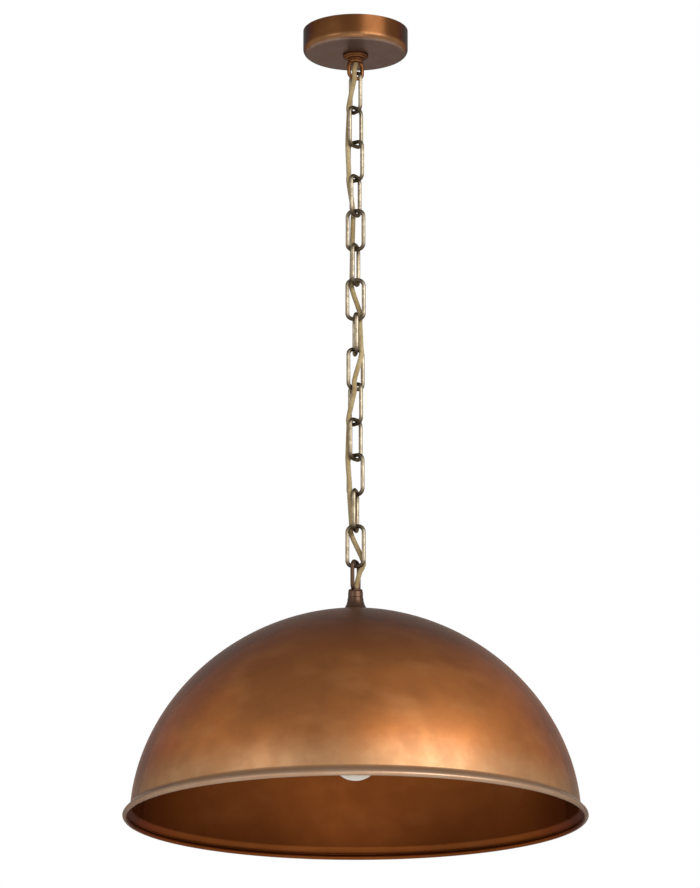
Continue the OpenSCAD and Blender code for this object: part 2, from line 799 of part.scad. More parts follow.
// Sprung strip under the ceramic base that bears on the bulb's tip, with its rivet
module centre_contact() {
    thick = 0.4;
    gap = 0.3;
    low = contact_z + gap;
    profile = [[strap_x + 2.5, shell_z], [strap_x - 2, shell_z], [2.5, low + thick],
               [-3, low + thick], [-3, low], [2.8, low], [strap_x - 1.9, shell_z - thick],
               [strap_x + 2.5, shell_z - thick]];
    color(brass)
        union() {
            rotate([90, 0, 0])
                translate([0, 0, -2])
                    linear_extrude(4)
                        polygon(profile);
            translate([strap_x, 0, shell_z - thick])
                cylinder(r = rivet_r, h = base_h + thick - 0.5);
        }
}

module screw_shell() {
    r = screw_r + screw_gap;
    wall = 0.5;
    profile = [[8.8, shell_z], [r + wall, shell_z], [r + wall, shell_z - shell_h], [r, shell_z - shell_h],
               [r, shell_z - wall], [8.8, shell_z - wall]];
    color(brass)
        rotate_extrude()
            polygon(profile);
}

// A core's path from the flex's lower end down into one terminal
module holder_core(at, side) {
    top = base_z + terminal_size[2];
    x = side * terminal_x;
    route = concat(
        core_start(at, flex_end, -1),
        [[x * 0.4, 2, flex_end - 6], [x * 0.8, 3, flex_end - 12],
         [x, 1.8, top + 4], [x, 1.5, top + 1], [x, 1.5, top - 2]]);
    soft_tube(curve(route, 2), core_d, 8, [0, 1, 0]);
}

module holder_live_core() {
    color(brown_core) holder_core(neutral_at, 1);
}

module holder_neutral_core() {
    color(blue_core) holder_core(live_at, -1);
}

earth_stud_y = -11.5;
earth_stud_r = 1.5;
earth_bar_h = 4;
stud_l = 4.5;
// The earth core ends in a ring tag under a screw in the ceramic base; a strip earths the skirt
module holder_earth_core() {
    tag_z = base_z + earth_bar_h;
    reach = 1.6 * earth_stud_r + tag_barrel_r + 0.15;
    core_y = earth_stud_y + reach;
    strip_l = holder_r - holder_wall - 0.2 + earth_stud_y;
    route = concat(
        core_start(earth_at, flex_end, -1),
        [[0, -4, flex_end - 7], [0, core_y - 0.3, flex_end - 13],
         [0, core_y, tag_z + 3.2], [0, core_y, tag_z + 1.4]]);
    color(green_core) {
        soft_tube(curve(route, 2), core_d, 8, [1, 0, 0]);
        translate([0, earth_stud_y, tag_z]) {
            rotate([0, 0, 90])
                ring_tag(earth_stud_r, reach);
            translate([-tag_barrel_r, -strip_l, 0])
                cube([2 * tag_barrel_r, strip_l - earth_stud_r - 0.6, tag_sheet]);
        }
    }
}

module holder_earth_screw() {
    head_h = 1.6;
    color(zinc)
        translate([0, earth_stud_y, base_z + earth_bar_h + tag_sheet + 0.1])
            difference() {
                union() {
                    cylinder(r = 1.6 * earth_stud_r, h = head_h);
                    translate([0, 0, -stud_l])
                        cylinder(r = earth_stud_r, h = stud_l + 0.5);
                }
                translate([-3, -0.3, head_h - 0.7])
                    cube([6, 0.6, 1]);
            }
}

// ---- bulb ----

bulb_cap_h = 22;
bulb_neck_r = screw_r - 0.7;
bulb_shoulder_z = contact_z - 6;
bulb_mid_z = tip_z + bulb_r;

module bulb_contact() {
    color(zinc)
        translate([0, 0, contact_z - 2.5])
            rotate_extrude()
                polygon(concat([[0, 0], [4.7, 0]], arc(3.2, 1, 1.5, 0, 90, 4), [[0, 2.5]]));
}

// Black glass cone that parts the tip contact from the screw cap
module bulb_insulator() {
    color([0.06, 0.05, 0.05])
        translate([0, 0, contact_z - 2.5])
            rotate_extrude()
                polygon([[0, 0], [4.8, 0], [9, -3.5], [0, -3.5]]);
}

// Screw cap of the bulb, a thin metal cup round the glass's neck
module bulb_cap() {
    wall = 0.3;
    foot = bulb_shoulder_z - bulb_cap_h;
    profile = [[screw_r, foot], [screw_r, bulb_shoulder_z - 2], [9, bulb_shoulder_z], [8, bulb_shoulder_z],
               [screw_r - wall, bulb_shoulder_z - 2 - wall], [screw_r - wall, foot]];
    color(brass)
        rotate_extrude()
            polygon(profile);
}

// Where the round of the glass passes into its neck
neck_turn = 41;
neck_at_z = bulb_shoulder_z - bulb_cap_h - 1;
function bezier(a, b, c, d, t) =
    pow(1 - t, 3) * a + 3 * pow(1 - t, 2) * t * b + 3 * (1 - t) * t * t * c + pow(t, 3) * d;
function glass_line(inset) =
    let (r = bulb_r - inset,
         join = [r * cos(neck_turn), bulb_mid_z + r * sin(neck_turn)],
         last = [bulb_neck_r - inset, neck_at_z + 4],
         pull = 4.5)
    concat([for (a = [-90:6:neck_turn - 5]) [r * cos(a), bulb_mid_z + r * sin(a)]],
        [for (t = [0:0.125:1])
            bezier(join, join + pull * [-sin(neck_turn), cos(neck_turn)], last - [0, pull], last, t)],
        [[bulb_neck_r - inset, neck_at_z + 12]]);

module bulb_glass() {
    outer = glass_line(0);
    inner = glass_line(glass_wall);
    color([0.96, 0.95, 0.92])
        rotate_extrude($fn = 96)
            polygon(concat([for (p = outer) [max(p[0], 0), p[1]]],
                [for (i = [len(inner) - 1:-1:0]) [max(inner[i][0], 0), inner[i][1]]]));
}

stem_top = neck_at_z + 10;
stem_foot = bulb_mid_z + 12;
// Glass stem that carries the filament's wires; its flare is seated in the end of the glass
module bulb_stem() {
    flare_r = bulb_neck_r - glass_wall - 0.1;
    color([0.85, 0.9, 0.9])
        rotate_extrude()
            polygon([[0, stem_top], [flare_r, stem_top], [flare_r, stem_top - 0.8],
                     [4, stem_top - 3], [2.6, stem_top - 7], [2, stem_foot + 2],
                     [2.4, stem_foot], [0, stem_foot]]);
}

lead_x = 8;
lead_d = 0.7;
module bulb_leads() {
    color(zinc)
        for (side = [-1, 1]) {
            route = [[side * 1.2, 0, stem_foot - 0.15], [side * 1.4, 0, stem_foot - 2],
                     [side * 4.5, 0, stem_foot - 7], [side * lead_x, 0, bulb_mid_z],
                     [side * lead_x, 0, bulb_mid_z - 1.5]];
            soft_tube(curve(route, 2), lead_d, 8, [0, 1, 0]);
        }
}

// Filament, drawn as the envelope of its fine coil
module bulb_filament() {
    color([0.5, 0.48, 0.45])
        soft_tube([for (a = [0:15:180]) [lead_x * cos(a), 4 * sin(a), bulb_mid_z - 2.0]], 0.8, 8, [0, 0, 1]);
}

mounting_bracket();
canopy_nipple();
bracket_nuts();
canopy_bush();
terminal_block();
terminal_inserts();
terminal_screws();
terminal_fixing_screw();
earth_screw();
canopy_live_core();
canopy_neutral_core();
canopy_earth_core();
canopy();
canopy_collar();
canopy_loop();
flex();
for (i = [1:links])
    chain_link(i);
shade_loop();
bell_cap();
shade_nipple();
shade();
shade_washer();
shade_nut();
spacer_tube();
holder_bush();
holder_cap();
grub_screw();
holder_skirt();
ceramic_base();
holder_terminals();
holder_terminal_screws();
centre_contact();
screw_shell();
holder_live_core();
holder_neutral_core();
holder_earth_core();
holder_earth_screw();
bulb_contact();
bulb_insulator();
bulb_cap();
bulb_glass();
bulb_stem();
bulb_leads();
bulb_filament();
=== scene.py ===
"""The looks of a dome pendant lamp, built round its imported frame.

Lengths are in metres, Z is up and the ceiling is at Z = 0."""

import json
import math

import bpy
import numpy as np
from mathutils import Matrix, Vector


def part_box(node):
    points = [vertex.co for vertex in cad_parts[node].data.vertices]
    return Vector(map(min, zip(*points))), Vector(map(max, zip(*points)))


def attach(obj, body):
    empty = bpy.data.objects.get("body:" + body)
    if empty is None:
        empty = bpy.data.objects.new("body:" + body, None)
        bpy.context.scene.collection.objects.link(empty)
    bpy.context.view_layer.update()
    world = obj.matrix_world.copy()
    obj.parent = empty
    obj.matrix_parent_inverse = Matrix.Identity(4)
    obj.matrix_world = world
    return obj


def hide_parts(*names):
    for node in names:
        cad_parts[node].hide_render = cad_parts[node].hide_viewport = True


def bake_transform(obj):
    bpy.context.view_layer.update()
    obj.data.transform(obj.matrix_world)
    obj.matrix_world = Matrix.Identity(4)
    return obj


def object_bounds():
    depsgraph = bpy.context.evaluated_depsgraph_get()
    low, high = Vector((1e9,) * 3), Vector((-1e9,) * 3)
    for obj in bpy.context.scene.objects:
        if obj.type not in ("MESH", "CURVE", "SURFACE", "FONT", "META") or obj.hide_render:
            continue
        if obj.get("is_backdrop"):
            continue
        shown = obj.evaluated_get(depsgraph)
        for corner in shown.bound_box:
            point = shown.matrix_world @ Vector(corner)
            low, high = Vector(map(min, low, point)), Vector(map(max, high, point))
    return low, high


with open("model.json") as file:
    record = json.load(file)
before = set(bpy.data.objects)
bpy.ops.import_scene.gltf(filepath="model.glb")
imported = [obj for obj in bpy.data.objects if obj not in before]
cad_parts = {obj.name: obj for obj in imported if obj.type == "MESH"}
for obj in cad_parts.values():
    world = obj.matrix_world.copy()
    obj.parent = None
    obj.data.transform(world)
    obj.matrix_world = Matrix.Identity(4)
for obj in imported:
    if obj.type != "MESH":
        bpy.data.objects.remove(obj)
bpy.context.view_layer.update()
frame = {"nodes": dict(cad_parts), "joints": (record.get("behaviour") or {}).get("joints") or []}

MM = 0.001
TURN = 2 * math.pi

# ---- sizes, as on the frame ----

SHADE_RADIUS = 200 * MM
SHADE_HEIGHT = 181.5 * MM
SHADE_SHEET = 1.0 * MM
LIP_OUT = 6.2 * MM
LIP_TOP = 10.6 * MM
LIP_BAND = 2.4 * MM
CURL_RADIUS = 2.3 * MM
SEAT_RADIUS = 14 * MM
DOME_POWER = 1.93

CANOPY_RADIUS = 46.8 * MM
CANOPY_HEIGHT = 22.2 * MM
CANOPY_SHEET = 0.8 * MM
CANOPY_EDGE = 5.0 * MM
COLLAR_RADIUS = 11.25 * MM
COLLAR_HEIGHT = 4 * MM

BELL_HEIGHT = 13.5 * MM
BELL_TOP_RADIUS = 6.9 * MM
BELL_FOOT_RADIUS = 13 * MM
BELL_WALL = 1.0 * MM

LINK_WIRE = 3.5 * MM
LINK_WIDTH = 18 * MM
LINK_CORNER = 5.25 * MM
LINK_GAP = 0.3 * MM
LOOP_WIRE = 3.6 * MM
CANOPY_LOOP_WIDTH = 17 * MM
CANOPY_LOOP_HEIGHT = 15.7 * MM
CANOPY_STEM_RADIUS = 6.8 * MM
SHADE_LOOP_WIDTH = 18 * MM
SHADE_LOOP_HEIGHT = 26.3 * MM
SHADE_STEM_RADIUS = 6.5 * MM
SHADE_LOOP_YAW = math.radians(68)
NIPPLE_HOLE = 5.2 * MM
FLEX_HOLE = 2.9 * MM

FLEX_RADIUS = 2.2 * MM
FLEX_ROOM = 4.5 * MM
FLEX_HALF = 4.6 * MM
FLEX_QUARTERS = (2, 0, 3, 2, 0, 3, 2, 0, 2, 0, 2, 1, 0, 2, 0)

CAP_RADIUS = 12.9 * MM
THREAD_PITCH = 3.63 * MM
NIPPLE_PITCH = 1.0 * MM
BULB_RADIUS = 22.5 * MM
GLASS_WALL = 0.8 * MM

# ---- fineness: sides of tubes, segments of turned pieces, points along their lines ----

RING_SIDES, LINK_SIDES, FLEX_SIDES = 28, 22, 24
SHADE_SEGMENTS, CANOPY_SEGMENTS, COLLAR_SEGMENTS = 224, 192, 96
BELL_SEGMENTS, STEM_SEGMENTS = 128, 72
GLOBE_SEGMENTS, CAP_SEGMENTS = 128, 96
OUTSIDE_STEPS, INSIDE_STEPS, LIP_STEPS, CURL_STEPS = 190, 170, 26, 30
TRIAL_STEPS = 4000
BELL_STEPS, BALL_STEPS, BEND_STEPS, CAP_STEPS = 40, 60, 20, 90
CORNER_STEPS, FLEX_STEPS = 14, 10
RING_STEP, CANOPY_STEP = 0.6 * MM, 1.2 * MM

# ---- heights, read from the frame ----

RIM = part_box("shade")[0].z
SEAT = RIM + SHADE_HEIGHT
BELL_TOP = SEAT + BELL_HEIGHT
CANOPY_FACE = -CANOPY_HEIGHT
COLLAR_FACE = CANOPY_FACE - COLLAR_HEIGHT

# ---- the chain's contacts, read from the frame's hinges ----

swings = [j for j in frame["joints"] if j["name"].startswith("swing")]
contacts = len(swings)
pivots = np.array([j["pos_m"][2] for j in swings])
yaws = np.array([math.atan2(j["axis"][1], j["axis"][0]) for j in swings] + [SHADE_LOOP_YAW])
wires = np.array([LOOP_WIRE] + [LINK_WIRE] * (contacts - 1) + [LOOP_WIRE])
bearings = pivots + (wires[:-1] + wires[1:]) / 2 + LINK_GAP
CANOPY_RING = pivots[0] + CANOPY_LOOP_HEIGHT
SHADE_RING = bearings[-1] - SHADE_LOOP_HEIGHT


# ---- surfaces ----

def smooth(t):
    """Smoothstep: 0 below 0, 1 above 1, and 3t^2 - 2t^3 between."""
    t = np.clip(t, 0, 1)
    return t * t * (3 - 2 * t)


def arc(centre, radius, start, stop, count):
    """Points of a circle in the profile plane: centre + radius * (cos a, sin a), a in degrees."""
    a = np.radians(np.linspace(start, stop, count))
    return np.array(centre) + radius * np.stack([np.cos(a), np.sin(a)], 1)


def lengths(path):
    """Distance along a path at each of its points."""
    steps = np.linalg.norm(np.diff(path, axis=0), axis=1)
    return np.concatenate([[0], np.cumsum(steps)])


def spread(path, step):
    """The same path with points added, so that none lie further apart than step."""
    rows = [path[:1]]
    for a, b in zip(path[:-1], path[1:]):
        count = max(1, math.ceil(np.linalg.norm(b - a) / step))
        rows.append(a + (b - a) * np.linspace(0, 1, count + 1)[1:, None])
    return np.concatenate(rows)


def sheet(name, points, along, around, wrap_rows=False, sharp=40):
    """A grid of points, rows by columns, as a mesh of quads whose columns close on themselves.
    Its UV map holds around, the columns' places, as U and along, the rows' places, as V."""
    rows, columns = points.shape[:2]
    i, j = np.meshgrid(
        np.arange(rows if wrap_rows else rows - 1), np.arange(columns), indexing="ij")
    i, j = i.ravel(), j.ravel()
    ahead, right = (i + 1) % rows, (j + 1) % columns
    quads = np.stack([i * columns + j, i * columns + right, ahead * columns + right,
                      ahead * columns + j], 1)
    mesh = bpy.data.meshes.new(name)
    mesh.from_pydata(points.reshape(-1, 3).tolist(), [], quads.tolist())
    uv = mesh.uv_layers.new(name="Lengths")
    u = np.stack([around[j], around[j + 1], around[j + 1], around[j]], 1)
    v = np.stack([along[i], along[i], along[i + 1], along[i + 1]], 1)
    uv.data.foreach_set("uv", np.stack([u, v], 2).astype(np.float32).ravel())
    mesh.shade_smooth()
    mesh.set_sharp_from_angle(angle=math.radians(sharp))
    mesh.update()
    piece = bpy.data.objects.new(name, mesh)
    bpy.context.scene.collection.objects.link(piece)
    return piece


def turned(name, profile, segments, sharp=40):
    """A closed profile of (radius, height) points turned about Z: x = r cos a, y = r sin a,
    z = h. It runs clockwise seen with the radius to the right, so that faces point out."""
    a = np.linspace(0, TURN, segments, endpoint=False)
    r, h = profile[:, 0, None], profile[:, 1, None]
    points = np.stack([r * np.cos(a), r * np.sin(a), h + 0 * a], 2)
    ring = np.concatenate([profile, profile[:1]])
    around = np.linspace(0, TURN * profile[:, 0].max(), segments + 1)
    return sheet(name, points, lengths(ring), around, wrap_rows=True, sharp=sharp)


def tube(name, path, radius, sides, closed=False, caps=True):
    """A round tube along a path. Each ring lies square to the path, and its first spoke is
    carried from ring to ring with the least turn. radius is one number or one for each point.
    Its U runs from 0 to 1 round the tube, and its V is the distance along the path in metres."""
    count = len(path)
    if closed:
        tangent = np.roll(path, -1, 0) - np.roll(path, 1, 0)
    else:
        tangent = np.gradient(path, axis=0)
    tangent /= np.linalg.norm(tangent, axis=1)[:, None]
    spoke = np.zeros_like(path)
    side = np.cross(tangent[0], [0.3, 0.9, 0.2])
    for k in range(count):
        side = side - (side @ tangent[k]) * tangent[k]
        side /= np.linalg.norm(side)
        spoke[k] = side
    other = np.cross(tangent, spoke)
    a = np.linspace(0, TURN, sides, endpoint=False)[None, :, None]
    reach = np.broadcast_to(radius, count)[:, None, None]
    points = path[:, None] + reach * (np.cos(a) * spoke[:, None] + np.sin(a) * other[:, None])
    ring = np.concatenate([path, path[:1]]) if closed else path
    along = lengths(ring)
    if caps and not closed:
        ends = [np.repeat(path[[k]][:, None], sides, 1) for k in (0, -1)]
        points = np.concatenate([ends[0], points, ends[1]])
        along = np.concatenate([[along[0]], along, [along[-1]]])
    around = np.linspace(0, 1, sides + 1)
    return sheet(name, points, along, around, wrap_rows=closed)


def ring_path(width, height, corner, middle, yaw):
    """Centre line of an upright rounded rectangle: four quarter circles joined by straights,
    turned by yaw about Z and centred on the height middle. It starts in the middle of a side."""
    w, h = width / 2 - corner, height / 2 - corner
    flat = np.concatenate([
        [[width / 2, 0]],
        *(arc((across * w, up * h), corner, start, start + 90, CORNER_STEPS)
          for across, up, start in ((1, 1, 0), (-1, 1, 90), (-1, -1, 180), (1, -1, 270))),
        [[width / 2, 0]]])
    flat = spread(flat, RING_STEP)[:-1]
    return np.stack([flat[:, 0] * math.cos(yaw), flat[:, 0] * math.sin(yaw),
                     flat[:, 1] + middle], 1)


def curve_through(points, steps):
    """Catmull-Rom curve through the points: each stretch is a cubic that leaves a point
    along the line between its two neighbours."""
    p = np.concatenate([points[:1], points, points[-1:]])
    f = np.linspace(0, 1, steps, endpoint=False)[None, :, None]
    a, b, c, d = (p[k:k + len(points) - 1, None] for k in range(4))
    stretch = 0.5 * (2 * b + (c - a) * f + (2 * a - 5 * b + 4 * c - d) * f ** 2
                     + (3 * b - a - 3 * c + d) * f ** 3)
    return np.concatenate([stretch.reshape(-1, 3), points[-1:]])


# ---- shader expressions ----

class Wire:
    """One output of a shader node. Arithmetic on it adds Math nodes to the same graph."""

    def __init__(self, graph, socket):
        self.graph, self.socket = graph, socket

    def math(self, operation, *others):
        return self.graph.node("Math", {"operation": operation}, [self, *others])

    def __add__(self, other):
        return self.math("ADD", other)

    def __sub__(self, other):
        return self.math("SUBTRACT", other)

    def __rsub__(self, other):
        return self.graph.node("Math", {"operation": "SUBTRACT"}, [other, self])

    def __mul__(self, other):
        return self.math("MULTIPLY", other)

    def __truediv__(self, other):
        return self.math("DIVIDE", other)

    def __abs__(self):
        return self.math("ABSOLUTE")

    def sine(self):
        return self.math("SINE")

    def most(self, other):
        return self.math("MAXIMUM", other)

    def step(self, low, high):
        """0 where it is below low, 1 above high, and smoothstep between."""
        return self.graph.node(
            "MapRange", {"interpolation_type": "SMOOTHSTEP"}, {"Value": self, 1: low, 2: high})


class Graph:
    """The node tree of a material or a world under construction."""

    def __init__(self, owner):
        owner.use_nodes = True
        self.tree = owner.node_tree

    def node(self, kind, settings=None, inputs=(), output=0):
        """Adds a node by its short type name, sets it up, fills its inputs with values or
        wires, by place or by name, and returns one of its outputs."""
        made = self.tree.nodes.new("ShaderNode" + kind)
        for key, value in (settings or {}).items():
            setattr(made, key, value)
        for key, value in inputs.items() if isinstance(inputs, dict) else enumerate(inputs):
            self.put(made.inputs[key], value)
        return Wire(self, made.outputs[output])

    def put(self, socket, value):
        if isinstance(value, Wire):
            self.tree.links.new(value.socket, socket)
        elif isinstance(value, tuple) and len(value) == 3 and socket.type == "RGBA":
            socket.default_value = (*value, 1)
        else:
            socket.default_value = value

    def ray(self, kind):
        """1 for the named kind of ray and 0 for the others."""
        return self.node("LightPath", output=f"Is {kind} Ray")

    def shown(self):
        """1 for the rays that show the background: seen, mirrored or refracted."""
        return self.ray("Camera").most(self.ray("Glossy")).most(self.ray("Transmission"))


class Finish(Graph):
    """A material under construction, with its Principled shader at hand."""

    def __init__(self, name):
        self.material = bpy.data.materials.new(name)
        super().__init__(self.material)
        self.shader = self.tree.nodes["Principled BSDF"]

    def place(self):
        """The point on the piece, in metres."""
        return self.node("TexCoord", output="Object")

    def lengths(self):
        """The piece's own UV map as two numbers: U around it and V along it."""
        uv = self.node("UVMap", {"uv_map": "Lengths"})
        return (self.node("SeparateXYZ", None, [uv], 0), self.node("SeparateXYZ", None, [uv], 1))

    def xyz(self):
        """The point on the piece as three numbers."""
        point = self.place()
        return tuple(self.node("SeparateXYZ", None, [point], k) for k in range(3))

    def vector(self, x, y, z):
        return self.node("CombineXYZ", None, [x, y, z])

    def noise(self, size, detail=3.0, rough=0.5, at=None):
        """Cloudy noise from about 0.25 to 0.75, with features of the given size in metres."""
        return self.node("TexNoise", None, {
            "Vector": at or self.place(), "Scale": 1 / size, "Detail": detail,
            "Roughness": rough})

    def mix(self, share, first, second):
        """first where share is 0 and second where it is 1."""
        return self.node(
            "Mix", {"data_type": "RGBA"}, {0: share, 6: first, 7: second}, output=2)

    def bump(self, height, depth):
        """Normal from a height of 0 to 1 that stands for depth metres."""
        return self.node("Bump", None, {"Strength": 1.0, "Distance": depth, "Height": height})

    def done(self, **sockets):
        """Puts values or wires on the shader's sockets and returns the material."""
        for name, value in sockets.items():
            self.put(self.shader.inputs[name.replace("_", " ").title()], value)
        return self.material


# ---- finishes ----

def thread_wave(x, y, z, pitch):
    """A screw thread's height, from 0 to 1: a sine of z / pitch less the turn about Z."""
    return (z * (TURN / pitch) - y.math("ARCTAN2", x)).sine() * 0.5 + 0.5


def aged_copper(name, dark, body, bright, gloss, lacquer=0.0, zones=()):
    """Spun copper under a hand-rubbed brown patina and a satin lacquer. Clouds a few
    centimetres across darken it, finer smudges and specks break them up, and faint rings run
    round it from the spinning. Each zone is (full, none, colour, amount): that colour is laid
    on, broken by the smudges, at the height full, and fades out at the height none. The zones
    paint light and shade by height, some partly with real rubbing; each material says which."""
    f = Finish(name)
    u, v = f.lengths()
    clouds = f.noise(0.085, 3, 0.5).step(0.34, 0.66)
    smudges = f.noise(0.018, 5, 0.6).step(0.34, 0.70)
    specks = f.noise(0.0016, 2, 0.6).step(0.62, 0.76)
    rings = f.noise(1.0, 4, 0.7, at=f.vector(u * 6, v * 900, 0))
    rubbed = f.noise(0.045, 3, 0.5, at=f.vector(u * 0.8, v * 1.6, 0.4)).step(0.46, 0.78)
    colour = f.mix(clouds * 0.3 + smudges * 0.12 + 0.5, dark, body)
    colour = f.mix(rubbed * 0.25, colour, bright)
    colour = f.mix(specks * 0.2, colour, dark)
    for full, none, tint, amount in zones:
        zone_share = 1 - f.xyz()[2].step(full, none)
        colour = f.mix(zone_share * (smudges * 0.3 + 0.7) * amount, colour, tint)
    rough = smudges * -0.05 + rings * 0.06 + specks * 0.08 + gloss
    relief = rings * 0.5 + smudges * 0.3 + specks * 0.2
    f.shader.inputs["Specular Tint"].default_value = (0.0, 0.0, 0.0, 1)
    f.shader.inputs["Specular IOR Level"].default_value = 0.3
    f.shader.inputs["Coat Roughness"].default_value = 0.32
    return f.done(base_color=colour, metallic=0.8, roughness=rough, coat_weight=lacquer,
                  normal=f.bump(relief, 0.00005))


def aged_brass(name, dark, body, bright):
    """Drawn wire in antique brass: lengthwise die lines and brown tarnish in clouds. Each link
    is painted darker towards its ends, by an attribute on the mesh that is 1 there: painted
    shade where the links meet."""
    f = Finish(name)
    u, v = f.lengths()
    end_shade = f.node("Attribute", {"attribute_name": "Wear"}, output="Fac")
    lines = f.noise(1.0, 3, 0.6, at=f.vector(u * 40, v * 60, 0))
    tarnish = f.noise(0.006, 4, 0.6).step(0.35, 0.68)
    specks = f.noise(0.0009, 2, 0.6).step(0.58, 0.72)
    colour = f.mix(tarnish * 0.7 + lines * 0.3, body, bright)
    # Painted shade: the link darkens towards its ends, where it meets the next link.
    colour = f.mix(end_shade.step(0.50, 0.92) * 0.85, colour, dark)
    colour = f.mix(specks * 0.3, colour, dark)
    rough = lines * 0.12 + end_shade * 0.12 + specks * 0.1 + 0.26
    f.shader.inputs["Specular Tint"].default_value = (0.7, 0.6, 0.5, 1)
    return f.done(base_color=colour, metallic=0.96, roughness=rough,
                  normal=f.bump(lines * 0.6 + specks * 0.4, 0.00004))


def machined(name, dark, body, thread=None, rough_from=0.24):
    """Turned or plated metal: fine cloudy tarnish, hairlines, and a thread if its pitch is
    given as thread."""
    f = Finish(name)
    x, y, z = f.xyz()
    tarnish = f.noise(0.007, 4, 0.6).step(0.3, 0.72)
    hair = f.noise(1.0, 3, 0.6, at=f.vector(x * 300, y * 300, z * 4000))
    colour = f.mix(tarnish, dark, body)
    rough = tarnish * -0.08 + hair * 0.14 + rough_from
    relief, depth = hair, 0.00002
    if thread:
        relief, depth = thread_wave(x, y, z, thread) * 0.95 + hair * 0.05, 0.0005
    return f.done(base_color=colour, metallic=0.95, roughness=rough, normal=f.bump(relief, depth))


def braided_fabric(name, gold, pale, brown, yarns=12, lay=0.0105):
    """Braided cover of a flex. Two families of yarns wind opposite ways at the same lay: one
    counts U + V / lay, the other U - V / lay, and they pass over and under each other."""
    f = Finish(name)
    u, v = f.lengths()
    right = (u + v / lay) * yarns
    left = (u - v / lay) * yarns
    over = ((right * math.pi).sine() * (left * math.pi).sine()).step(-0.12, 0.12)
    crown_right = abs((left * math.pi).sine())
    crown_left = abs((right * math.pi).sine())
    crown = crown_right * over + crown_left * (1 - over)
    fibres = f.noise(0.00035, 3, 0.6)
    fade = f.noise(0.014, 3, 0.5).step(0.35, 0.7)
    tracer = ((right / yarns * 2).math("FRACT")).step(0.80, 0.90) * over
    # Painted shade: the yarns darken to brown at their edges, between neighbours, and are gold on
    # their crowns.
    colour = f.mix(crown * 0.75 + fibres * 0.35, brown, gold)
    colour = f.mix(fade * 0.55, colour, pale)
    colour = f.mix(tracer * 0.4, colour, brown)
    f.shader.inputs["Sheen Weight"].default_value = 0.25
    f.shader.inputs["Sheen Roughness"].default_value = 0.4
    return f.done(base_color=colour, metallic=0.0, roughness=fibres * 0.2 + 0.5,
                  normal=f.bump(crown * 0.85 + fibres * 0.15, 0.00022))


def opal_glass(name):
    """Milky glass: warm white, with a peach tint that is partly a painted reflection of the copper
    round it; thinner and greyer in faint clouds, with a glossy skin.
    """
    f = Finish(name)
    milk = f.noise(0.02, 3, 0.5).step(0.3, 0.7)
    ripple = f.noise(0.012, 2, 0.5)
    f.shader.inputs["Coat Roughness"].default_value = 0.04
    f.shader.inputs["Subsurface Weight"].default_value = 0.3
    f.shader.inputs["Subsurface Radius"].default_value = (0.006, 0.005, 0.004)
    return f.done(base_color=f.mix(milk, (0.98, 0.80, 0.64), (0.99, 0.86, 0.74)), metallic=0.0,
                  roughness=milk * 0.06 + 0.16, coat_weight=0.6,
                  normal=f.bump(ripple, 0.00005))


def clear_glass(name):
    """Pressed clear glass, faintly blue at its thick places."""
    f = Finish(name)
    streaks = f.noise(0.004, 3, 0.6).step(0.3, 0.7)
    f.shader.inputs["Transmission Weight"].default_value = 0.9
    return f.done(base_color=f.mix(streaks, (0.86, 0.91, 0.92), (0.95, 0.97, 0.97)),
                  metallic=0.0, roughness=streaks * 0.05 + 0.05)


def glazed(name, body, shade, gloss=0.12):
    """Porcelain glaze: small pits and a slow change of tone."""
    f = Finish(name)
    tone = f.noise(0.012, 3, 0.5).step(0.3, 0.7)
    pits = f.noise(0.0025, 3, 0.6)
    return f.done(base_color=f.mix(tone, shade, body), metallic=0.0,
                  roughness=pits * 0.12 + gloss, normal=f.bump(pits, 0.00005))


def moulded(name, body, shade):
    """Moulded plastic or insulation: a fine even grain and slight mottling."""
    f = Finish(name)
    tone = f.noise(0.008, 3, 0.5).step(0.3, 0.7)
    grain = f.noise(0.0005, 2, 0.6)
    return f.done(base_color=f.mix(tone, shade, body), metallic=0.0,
                  roughness=grain * 0.16 + 0.42, normal=f.bump(grain, 0.00003))


def striped_insulation(name, green, yellow):
    """Two-colour insulation: slanting bands, a sine of 0.6 x + 0.5 y + z, pulled sharp."""
    f = Finish(name)
    x, y, z = f.xyz()
    band = ((x * 0.6 + y * 0.5 + z) * (TURN / 0.0032)).sine().step(0.0, 0.15)
    grain = f.noise(0.0005, 2, 0.6)
    return f.done(base_color=f.mix(band, green, yellow), metallic=0.0,
                  roughness=grain * 0.16 + 0.38, normal=f.bump(grain, 0.00003))


UMBER = (0.090, 0.036, 0.014)
COPPER = (0.400, 0.138, 0.036)
RUBBED = (0.500, 0.235, 0.090)

outer_patina = aged_copper("shade_patina", UMBER, COPPER, RUBBED, gloss=0.42, lacquer=0.15,
                           # Painted shade: the dome's top is laid over darker, fading out towards
                           # the middle of the dome.
                           zones=[(SEAT - 4 * MM, SEAT - 95 * MM, (0.100, 0.042, 0.019), 0.75),
                                  # A paler band above the rim: partly real rubbing, partly a
                                  # painted highlight.
                                  (RIM + 8 * MM, RIM + 45 * MM, (0.440, 0.290, 0.155), 0.55),
                                  # A pale band on the lip's flare: a painted highlight, partly real
                                  # rubbing of the edge.
                                  (RIM + 5 * MM, RIM + 11 * MM, (0.400, 0.285, 0.205), 0.75)])
